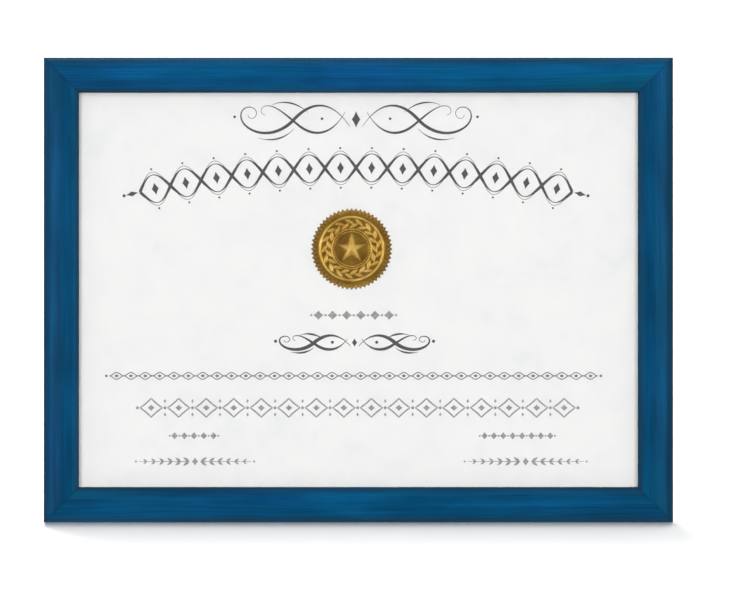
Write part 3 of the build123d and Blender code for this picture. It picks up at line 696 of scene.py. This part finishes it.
def chain(pr, x0, x1, v, tall, count, pen, kind):
    """Open lozenges in a row, each with a small solid one inside and a dot between neighbours."""
    pitch = (x1 - x0) / count
    for i in range(count):
        x = x0 + (i + 0.5) * pitch
        w, h = pitch * 0.40, tall / 2
        line = []
        for k in range(32):
            a = 2 * pi * k / 32
            r = 1 / (abs(cos(a)) + abs(sin(a))) ** 1.15
            line.append((x + w * r * cos(a), v + h * r * sin(a)))
        pr.stroke(line, lambda t: pen, kind, closed=True)
        pr.lozenge(x, v, pitch * 0.26, tall * 0.34, 0.0, kind)
    for i in range(count + 1):
        x = x0 + i * pitch
        pr.dot(x, v, tall * 0.085, kind)
        if 0 < i < count:
            for sign in (-1, 1):
                pr.lozenge(x, v + sign * tall * 0.36, tall * 0.14, tall * 0.24, 0.0, kind)


def beads(pr, x0, x1, v, tall, count, kind):
    """Long solid lozenges in a row, with a dot between neighbours."""
    pitch = (x1 - x0) / count
    for i in range(count):
        pr.lozenge(x0 + (i + 0.5) * pitch, v, pitch * 0.72, tall, 0.0, kind)
    for i in range(count + 1):
        pr.dot(x0 + i * pitch, v, tall * 0.13, kind)


def certificate_print():
    pr = Print()
    flourish(pr, -1.2, 87.4, 1.03, 0.98, 1.12)
    arch(pr)
    beads(pr, -24.2, 19.4, -13.0, 4.8, 6, 3)
    flourish(pr, -2.0, -27.2, 0.67, 0.50, 1.30)
    rule(pr, -128.0, 123.0, -44.2, 3.5, 34, 2)
    chain(pr, -113.6, 112.8, -60.6, 9.6, 16, 0.82, 3)
    beads(pr, -97.0, -72.0, -75.0, 3.8, 5, 3)
    beads(pr, 62.4, 101.0, -75.0, 3.8, 8, 3)
    sprig(pr, -115.0, -53.0, -88.2, 6.4, 6, 3)
    sprig(pr, 54.0, 118.0, -88.2, 6.4, 6, 3)
    return pr


def certificate():
    """The sheet, with its print let into the front face."""
    pr = certificate_print()
    hw, hh, w0, w1 = 148.5, 105.0, 5.70, 5.90
    corners = [Vector(p) for p in ((-hw, -hh), (hw, -hh), (hw, hh), (-hw, hh))]
    points = corners + pr.points
    faces = [[0, 1, 2, 3]] + [[i + 4 for i in f] for f in pr.faces]
    flat, _, tris, _, _, _ = delaunay_2d_cdt(points, [], faces, 0, 1e-4, True)
    verts = [on_frame(p.x, p.y, w0) for p in flat]
    out, slots = [], []
    ink_at = pr.lookup()
    for t in tris:
        a, b, c = (flat[i] for i in t[:3])
        turn = (b.x - a.x) * (c.y - a.y) - (b.y - a.y) * (c.x - a.x)
        out.append(list(t) if turn > 0 else list(reversed(t)))
        slots.append(ink_at((a.x + b.x + c.x) / 3, (a.y + b.y + c.y) / 3))
    # back face and edges
    ring = []
    for cx, cv in ((-hw, -hh), (hw, -hh), (hw, hh), (-hw, hh)):
        near = min(range(len(flat)), key=lambda i: hypot(flat[i].x - cx, flat[i].y - cv))
        ring.append(near)
    base = len(verts)
    verts += [on_frame(x, v, w1) for x, v in ((-hw, -hh), (hw, -hh), (hw, hh), (-hw, hh))]
    out.append([base + 3, base + 2, base + 1, base])
    slots.append(0)
    for k in range(4):
        j = (k + 1) % 4
        out.append([ring[j], ring[k], base + k, base + j])
        slots.append(0)
    obj = new_piece("certificate", verts, out, [paper(), ink("print_ink", (0.062, 0.062, 0.064)), ink("fine_ink", (0.150, 0.150, 0.152)), ink("pale_ink", (0.255, 0.255, 0.258))], slots, smooth=False)
    return finish_piece(obj, "frame", "certificate_sheet")


# ------------------------------------------------------------------ the seal
def seal():
    """Serrated foil seal, embossed: fluted rim, rings, a wreath of leaves and a star."""
    x0, v0, radius, tooth, teeth = -3.5, 21.0, 21.0, 1.3, 56
    base_w, base_t, tall = 5.70, 0.05, 0.25
    per = 10
    around = teeth * per
    radii = [0.0]
    steps = 104

    def bump(r, a, b):
        """A round-topped ring between a and b."""
        if not a < r < b:
            return 0.0
        return sin(pi * (r - a) / (b - a)) ** 0.8

    leaves = []
    for k in range(17):
        a = 2 * pi * k / 17
        leaves.append((0.570 * radius * cos(a), 0.570 * radius * sin(a), a + pi / 2 + 0.52, 2.75, 1.12))
        a += pi / 17
        leaves.append((0.672 * radius * cos(a), 0.672 * radius * sin(a), a + pi / 2 - 0.52, 2.75, 1.12))

    def leaf(x, v):
        best = 0.0
        for lx, lv, turn, long, wide in leaves:
            dx, dv = x - lx, v - lv
            if dx * dx + dv * dv > long * long:
                continue
            ca, sa = cos(turn), sin(turn)
            p, q = dx * ca + dv * sa, -dx * sa + dv * ca
            k = abs(p) / long
            reach = wide * (1 - k * k)
            if k < 1 and abs(q) < reach:
                rise = (1 - (q / reach) ** 2) * (1 - 0.55 * k * k)
                # a vein down the middle
                rise *= 1 - 0.32 * exp(-((q / 0.16) ** 2))
                best = max(best, rise)
        return best

    def star(x, v):
        r, a = hypot(x, v), atan2(v, x) - pi / 2
        out_r, in_r = 0.385 * radius, 0.155 * radius
        sector = 2 * pi / 5
        a = a - floor(a / sector + 0.5) * sector
        a = abs(a)
        # the edge from a tip to the next notch
        tx, tv = out_r, 0.0
        nx, nv = in_r * cos(pi / 5), in_r * sin(pi / 5)
        px, pv = r * cos(a), r * sin(a)
        ex, ev = nx - tx, nv - tv
        side = (ex * (pv - tv) - ev * (px - tx)) / hypot(ex, ev)
        inner = (ex * (0 - tv) - ev * (0 - tx)) / hypot(ex, ev)
        return max(0.0, min(1.0, side / inner)) if inner else 0.0

    def height(r, a):
        q = r / radius
        x, v = r * cos(a), r * sin(a)
        h = 0.16
        # rim: flutes that run out to the teeth
        if q > 0.815:
            k = (q - 0.815) / 0.185
            flute = 0.5 + 0.5 * cos(teeth * a)
            h = 0.10 + 0.42 * flute * min(1.0, 1.6 * k)
        h = max(h, 1.0 * bump(q, 0.735, 0.815))
        h = max(h, 0.80 * bump(q, 0.462, 0.505))
        if 0.50 < q < 0.74:
            h = max(h, 0.10 + 0.78 * leaf(x, v))
        if q < 0.455:
            h = max(0.12, h) if q > 0.41 else 0.12
            beads = 44
            bead = cos(beads * a / 2) ** 2
            if 0.405 < q < 0.452:
                h = max(h, 0.12 + 0.42 * bead * sin(pi * (q - 0.405) / 0.047))
            s = star(x, v)
            if s > 0:
                h = max(h, 0.22 + 0.78 * s ** 0.85)
        return h

    verts, faces = [], []
    for j in range(steps + 1):
        t = j / steps
        for i in range(around):
            a = 2 * pi * i / around
            f = (i % per) / per
            zig = abs(2 * f - 1)  # 1 at a tip, 0 at a notch
            edge_r = radius - tooth * (1 - zig)
            limit = 0.905
            if t * radius / radius < limit:
                r = t * radius
            else:
                r = limit * radius + (t - limit) / (1 - limit) * (edge_r - limit * radius)
            if j == 0:
                r = 0.0
            h = height(max(r, 1e-6), a)
            verts.append((r, a, base_t + tall * h))
    points = [on_frame(x0, v0, base_w - verts[0][2])]
    for r, a, h in verts[around:]:
        points.append(on_frame(x0 + r * cos(a), v0 + r * sin(a), base_w - h))
    for i in range(around):
        faces.append([0, 1 + i, 1 + (i + 1) % around])
    for j in range(steps - 1):
        for i in range(around):
            k = (i + 1) % around
            p, q = 1 + j * around, 1 + (j + 1) * around
            faces.append([p + i, q + i, q + k, p + k])
    rim = 1 + (steps - 1) * around
    low = len(points)
    for i in range(around):
        r, a, _ = verts[steps * around + i]
        points.append(on_frame(x0 + r * cos(a), v0 + r * sin(a), base_w))
    for i in range(around):
        k = (i + 1) % around
        faces.append([rim + i, low + i, low + k, rim + k])
    middle = len(points)
    points.append(on_frame(x0, v0, base_w))
    for i in range(around):
        k = (i + 1) % around
        faces.append([middle, low + k, low + i])
    obj = new_piece("gold_seal", points, faces, [gold()])
    return finish_piece(obj, "frame", "foil_seal")


# ------------------------------------------------------------------ velvet back and leg
def velvet_back():
    """The back's velvet: a pile that is brushed flat in places and rolls over at its edges."""
    hw, hh, w_top, w_low = 149.0, 106.75, 11.80, 11.40
    xs = [-hw + 2 * hw * i / 149 for i in range(150)]
    vs = [-hh + 2 * hh * i / 107 for i in range(108)]
    xs[1:1] = [-hw + 0.15, -hw + 0.45, -hw + 0.9]
    xs[-1:-1] = [hw - 0.9, hw - 0.45, hw - 0.15]
    vs[1:1] = [-hh + 0.15, -hh + 0.45, -hh + 0.9]
    vs[-1:-1] = [hh - 0.9, hh - 0.45, hh - 0.15]
    nx, nv = len(xs), len(vs)
    verts, faces = [], []
    for v in vs:
        for x in xs:
            rim = min(hw - abs(x), hh - abs(v))
            roll = 0.22 * (1 - min(1.0, rim / 0.9)) ** 2
            pile = 0.035 * (0.5 + 0.5 * noise.noise(Vector((x * 0.09, v * 0.09, 3.1))))
            pile += 0.025 * (0.5 + 0.5 * noise.noise(Vector((x * 0.6, v * 0.6, 7.7))))
            verts.append(on_frame(x, v, w_top - roll - pile))
    for j in range(nv - 1):
        for i in range(nx - 1):
            a = j * nx + i
            faces.append([a, a + nx, a + nx + 1, a + 1])
    ring = [i for i in range(nx)]
    ring += [j * nx + nx - 1 for j in range(1, nv)]
    ring += [(nv - 1) * nx + i for i in range(nx - 2, -1, -1)]
    ring += [j * nx for j in range(nv - 2, 0, -1)]
    low = len(verts)
    for k in ring:
        x, v = xs[k % nx], vs[k // nx]
        verts.append(on_frame(x, v, w_low))
    count = len(ring)
    for k in range(count):
        m = (k + 1) % count
        faces.append([ring[k], ring[m], low + m, low + k])
    faces.append([low + k for k in range(count)])
    obj = new_piece("velvet_back", verts, faces, [velvet("black_velvet")])
    finish_piece(obj, "frame", "velvet_cover")
    return obj


def rounded(corners, radius, steps=9):
    """The outline of a polygon with rounded corners."""
    out = []
    count = len(corners)
    for i in range(count):
        p, q, r = (Vector(corners[(i + k) % count]) for k in (-1, 0, 1))
        a, b = (p - q).normalized(), (r - q).normalized()
        half = a.angle(b) / 2
        centre = q + (a + b).normalized() * (radius / sin(half))
        start, end = q + a * (radius / (sin(half) / cos(half))), q + b * (radius / (sin(half) / cos(half)))
        u0, u1 = start - centre, end - centre
        turn = u0.angle_signed(u1)
        for k in range(steps + 1):
            t = -turn * k / steps
            out.append((centre.x + u0.x * cos(t) - u0.y * sin(t), centre.y + u0.x * sin(t) + u0.y * cos(t)))
    return out


def leg_board():
    """The strut: fibreboard wrapped in velvet, soft at its edges, its foot sawn to the table."""
    foot = 158.30767
    low = -foot - 0.9
    outline = rounded([(-21.0, -3.3), (-32.0, low), (32.0, low), (21.0, -3.3)], 5.0)
    count = len(outline)
    mid = (0.0, (low - 3.3) / 2)
    front, rear, soft = 1.3, -1.5, 0.7

    def inset(points, by):
        out = []
        for i in range(count):
            p, q, r = (Vector(points[(i + k) % count]) for k in (-1, 0, 1))
            d = (r - p).normalized()
            out.append((q.x - d.y * by, q.y + d.x * by))
        return out

    # rings from the middle of the front, over the edge, to the middle of the rear
    rings = []
    for by in (3.6, 1.8):
        rings.append((inset(outline, by), front))
    for k in range(5):
        a = pi / 2 * k / 4
        rings.append((inset(outline, soft * (1 - sin(a))), front - soft * (1 - cos(a))))
    for k in range(5):
        a = pi / 2 * k / 4
        rings.append((inset(outline, soft * (1 - cos(a))), rear + soft * (1 - sin(a))))
    for by in (1.8, 3.6):
        rings.append((inset(outline, by), rear))
    verts, faces = [], []
    for points, n in rings:
        cut = -(PIN.z * 1000 + LEG_OUT.z * n) / LEG_UP.z
        for x, v in points:
            verts.append(on_leg(x, max(v, cut), n))
    for j in range(len(rings) - 1):
        for i in range(count):
            k = (i + 1) % count
            faces.append([j * count + i, (j + 1) * count + i, (j + 1) * count + k, j * count + k])
    faces.append([i for i in range(count)])
    last = (len(rings) - 1) * count
    faces.append([last + i for i in range(count - 1, -1, -1)])
    obj = new_piece("leg_board", verts, faces, [velvet("leg_velvet", leg=True)])
    return finish_piece(obj, "leg", "easel_leg")


# ------------------------------------------------------------------ ribbon
B = Vector((0, -0.0197024, 0.0523382))
A = Vector((0, 0.0293281, 0.0505825))


def ribbon_strip(name, line, mat, rib=0.46):
    """A woven strip 10 mm wide along a line of points (metres), ribbed across."""
    thick, wide = 0.30, 10.0
    dense = []
    for a, b in zip(line, line[1:]):
        n = max(1, int((b - a).length * 1000 / (rib / 4)))
        dense += [a.lerp(b, i / n) for i in range(n)]
    dense.append(line[-1])
    run = [0.0]
    for a, b in zip(dense, dense[1:]):
        run.append(run[-1] + (b - a).length * 1000)
    across = [-5.0, -4.94, -4.75, -4.45, -4.2, -3.0, -1.5, 0.0, 1.5, 3.0, 4.2, 4.45, 4.75, 4.94, 5.0]
    verts, faces = [], []
    m = len(across)
    for i, p in enumerate(dense):
        q, r = dense[max(i - 1, 0)], dense[min(i + 1, len(dense) - 1)]
        t = (r - q).normalized()
        normal = Vector((1, 0, 0)).cross(t)
        wave = 0.5 + 0.5 * cos(2 * pi * run[i] / rib)
        for side in (1, -1):
            for x in across:
                edge = max(0.0, (abs(x) - 4.2) / 0.8)
                half = thick / 2 * (1 - 0.24 * (1 - wave if side > 0 else wave)) * (1 - 0.30 * edge**3)
                if abs(x) >= 5.0:
                    half *= 0.45
                fray = 0.05 * sin(2 * pi * run[i] / rib) * edge
                verts.append(p + normal * (side * half * 0.001) + Vector(((x + (fray if x > 0 else -fray)) * 0.001 * (wide - 0.1) / wide, 0, 0)))
    ring = 2 * m
    for i in range(len(dense) - 1):
        a, b = i * ring, (i + 1) * ring
        for k in range(m - 1):
            faces.append([a + k, a + k + 1, b + k + 1, b + k])
            faces.append([a + m + k + 1, a + m + k, b + m + k, b + m + k + 1])
        faces.append([a + m, a, b, b + m])
        faces.append([a + m - 1, a + 2 * m - 1, b + 2 * m - 1, b + m - 1])
    last = (len(dense) - 1) * ring
    for base, flip_it in ((0, False), (last, True)):
        loop = [base + k for k in range(m)] + [base + m + k for k in range(m - 1, -1, -1)]
        faces.append(loop[::-1] if not flip_it else loop)
    return new_piece(name, verts, faces, [mat])


def arc_between(p, a, b, radius, steps=8):
    """A bend of that radius at p, from the way of a to the way of b."""
    u, v = (a - p).normalized(), (b - p).normalized()
    half = u.angle(v) / 2
    reach = radius / (sin(half) / cos(half))
    start, end = p + u * reach, p + v * reach
    centre = p + (u + v).normalized() * (radius / sin(half))
    out = []
    for i in range(steps + 1):
        t = i / steps
        d = (start - centre).lerp(end - centre, t).normalized() * radius
        out.append(centre + d)
    return out


def stay():
    mat = ribbon()
    back = -OUT * 0.00015
    b = B + back + UP * 0.0004
    a = A + LEG_OUT * 0.00015 - LEG_UP * 0.0006
    b_top = b + UP * 0.009
    a_low = a - LEG_UP * 0.009
    bend_b = arc_between(b, b_top, a, 0.0007)
    bend_a = arc_between(a, b, a_low, 0.0007)
    tab_b = ribbon_strip("ribbon_tab_back", [b_top, *bend_b], mat)
    span = ribbon_strip("ribbon_span", [bend_b[-1], bend_a[0]], mat)
    tab_a = ribbon_strip("ribbon_tab_leg", [*bend_a, a_low], mat)
    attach(span, "frame")
    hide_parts("stay_ribbon")
    for tab, body in ((tab_b, "frame"), (tab_a, "leg")):
        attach(tab, body)
    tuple(bend_b[-1])
    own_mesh(span)


# ------------------------------------------------------------------ finishes of the CAD pieces
def dress(node, mat, bevel=None):
    obj = nodes[node]
    obj.data.materials.clear()
    obj.data.materials.append(mat)
    if bevel:
        m = obj.modifiers.new("soft_edge", "BEVEL")
        m.width, m.segments, m.limit_method, m.angle_limit = bevel, 2, "ANGLE", radians(40)
        m.harden_normals = False


# the last number of each row is a painted shade factor: the top rail is lit brightest, the bottom, left and right
# rails are painted darker
for side, way, seed, tone in (("top", "x", 1.7, 1.00), ("bottom", "x", 5.3, 0.92), ("left", "v", 9.1, 0.86), ("right", "v", 13.4, 0.80)):
    dress("rail_" + side, wood("stained_wood_" + side, way, seed, tone))
dress("glass_pane", glass())
dress("filler_board", greyboard())
dress("back_board", hardboard())
zinc = metal("zinc_steel", (0.36, 0.365, 0.37), (0.56, 0.56, 0.555), 0.32, (1, 1, 0.12), stain=(0.30, 0.31, 0.325))
for k in ("top_left", "top_right", "bottom_left", "bottom_right"):
    dress("turn_button_" + k, zinc)
dress("turn_button_screws", metal("screw_steel", (0.42, 0.36, 0.20), (0.58, 0.52, 0.34), 0.28, stain=(0.40, 0.30, 0.20)))
bright = metal("bright_steel", (0.42, 0.42, 0.42), (0.60, 0.60, 0.60), 0.26, (0.1, 1, 1))
for k in ("corner_v_nails", "ribbon_staple_board", "ribbon_staple_leg"):
    dress(k, bright)
nickel = metal("hinge_steel", (0.37, 0.355, 0.33), (0.53, 0.51, 0.475), 0.25, (0.08, 1, 1), stain=(0.29, 0.265, 0.235))
for k in ("hinge_leaf_fixed", "hinge_leaf_moving", "hinge_pin"):
    dress(k, nickel)
rivet = metal("rivet_steel", (0.42, 0.40, 0.37), (0.60, 0.58, 0.54), 0.22)
for k in ("hinge_rivets_board", "hinge_rivets_leg"):
    dress(k, rivet)
brass = metal("brass_plate", (0.285, 0.158, 0.036), (0.440, 0.272, 0.080), 0.20, (0.12, 1, 1), stain=(0.17, 0.088, 0.026))
for k in ("hanger_landscape", "hanger_portrait", "hanger_nails"):
    dress(k, brass)
dress("wall_bumpers", rubber())

certificate()
seal()
velvet_back()
leg_board()
stay()

# ------------------------------------------------------------------ floor, light, camera
floor_mesh = bpy.data.meshes.new("floor")
R = 40.0
floor_mesh.from_pydata([(-R, -R, 0), (R, -R, 0), (R, R, 0), (-R, R, 0)], [], [[0, 1, 2, 3]])
floor_obj = bpy.data.objects.new("floor", floor_mesh)
scene.collection.objects.link(floor_obj)
f = Nodes("pale_floor")
f.set(Base_Color=(0.80, 0.80, 0.80, 1), Roughness=0.9, Specular_IOR_Level=0.0)
f_far = f.add("ShaderNodeVectorMath", operation="LENGTH")
f.put(f_far.inputs[0], f.coords())
f.set(Emission_Color=(1, 1, 1, 1), Emission_Strength=f.step(f_far.outputs["Value"], 0.3, 3.0, (0.10, 0.52)))
floor_mesh.materials.append(f.mat)
floor_obj.visible_diffuse = False
floor_obj.visible_glossy = False

world = bpy.data.worlds.new("studio")
scene.world = world
world.use_nodes = True
wt = world.node_tree
wt.nodes.clear()
w_out = wt.nodes.new("ShaderNodeOutputWorld")
w_bg = wt.nodes.new("ShaderNodeBackground")
w_here = wt.nodes.new("ShaderNodeTexCoord")
w_dot = wt.nodes.new("ShaderNodeVectorMath")
w_dot.operation = "DOT_PRODUCT"
w_dot.inputs[1].default_value = OUT
w_half = wt.nodes.new("ShaderNodeMath")
w_half.operation = "MULTIPLY_ADD"
w_half.inputs[1].default_value, w_half.inputs[2].default_value = 0.5, 0.5
w_ramp = wt.nodes.new("ShaderNodeValToRGB")
w_stops = w_ramp.color_ramp.elements
w_stops.new(0.80)
w_stops.new(0.97)
for stop, (at, level) in zip(w_stops, ((0.0, 1.0), (0.60, 1.0), (0.82, 0.36), (0.97, 0.02))):
    stop.position, stop.color = at, (level, level, level, 1)
wt.links.new(w_here.outputs["Generated"], w_dot.inputs[0])
wt.links.new(w_dot.outputs["Value"], w_half.inputs[0])
wt.links.new(w_half.outputs[0], w_ramp.inputs[0])
wt.links.new(w_ramp.outputs[0], w_bg.inputs["Strength"])
w_bg.inputs["Color"].default_value = (1, 1, 1, 1)
wt.links.new(w_bg.outputs[0], w_out.inputs["Surface"])


def lamp(name, at, aim, size, power, colour=(1, 1, 1)):
    data = bpy.data.lights.new(name, "AREA")
    data.shape, data.size, data.size_y = "RECTANGLE", size[0], size[1]
    data.energy, data.color = power, colour
    obj = bpy.data.objects.new(name, data)
    scene.collection.objects.link(obj)
    obj.location = at
    obj.rotation_mode = "QUATERNION"
    obj.rotation_quaternion = (Vector(aim) - Vector(at)).to_track_quat("-Z", "Y")
    obj.visible_camera = False
    return obj


lamp("top", (-0.10, -2.45, 2.24), (0, 0, 0.10), (1.2, 0.9), 23)
lamp("left", (-0.98, -2.66, 0.84), (0, 0, 0.10), (0.8, 0.9), 35.4)
lamp("right", (0.98, -2.66, 0.84), (0, 0, 0.10), (0.8, 0.9), 34.8)
lamp("rear", (-0.90, 2.10, 1.80), (0, 0.05, 0.10), (1.6, 1.2), 34)
lamp("overhead", (-0.35, 1.05, 2.60), (0, 0.05, 0.0), (0.8, 0.5), 40)

cam_data = bpy.data.cameras.new("camera")
cam = bpy.data.objects.new("camera", cam_data)
scene.collection.objects.link(cam)
reach, scale = 3.0, 1.9477
middle = (358.4, 289.9)
aim = FACE - OUT * 0.002
cam.location = aim + OUT * reach + Vector(((368.5 - middle[0]) / scale * 0.001, 0, 0)) - UP * ((300.0 - middle[1]) / scale * 0.001)
cam.rotation_mode = "QUATERNION"
cam.rotation_quaternion = (-OUT).to_track_quat("-Z", "Y")
cam_data.sensor_width = 36.0
cam_data.lens = 36.0 * reach / (737 / scale * 0.001)
cam_data.clip_start, cam_data.clip_end = 0.05, 200.0
scene.camera = cam
scene.view_settings.view_transform = "Standard"
scene.view_settings.look = "None"
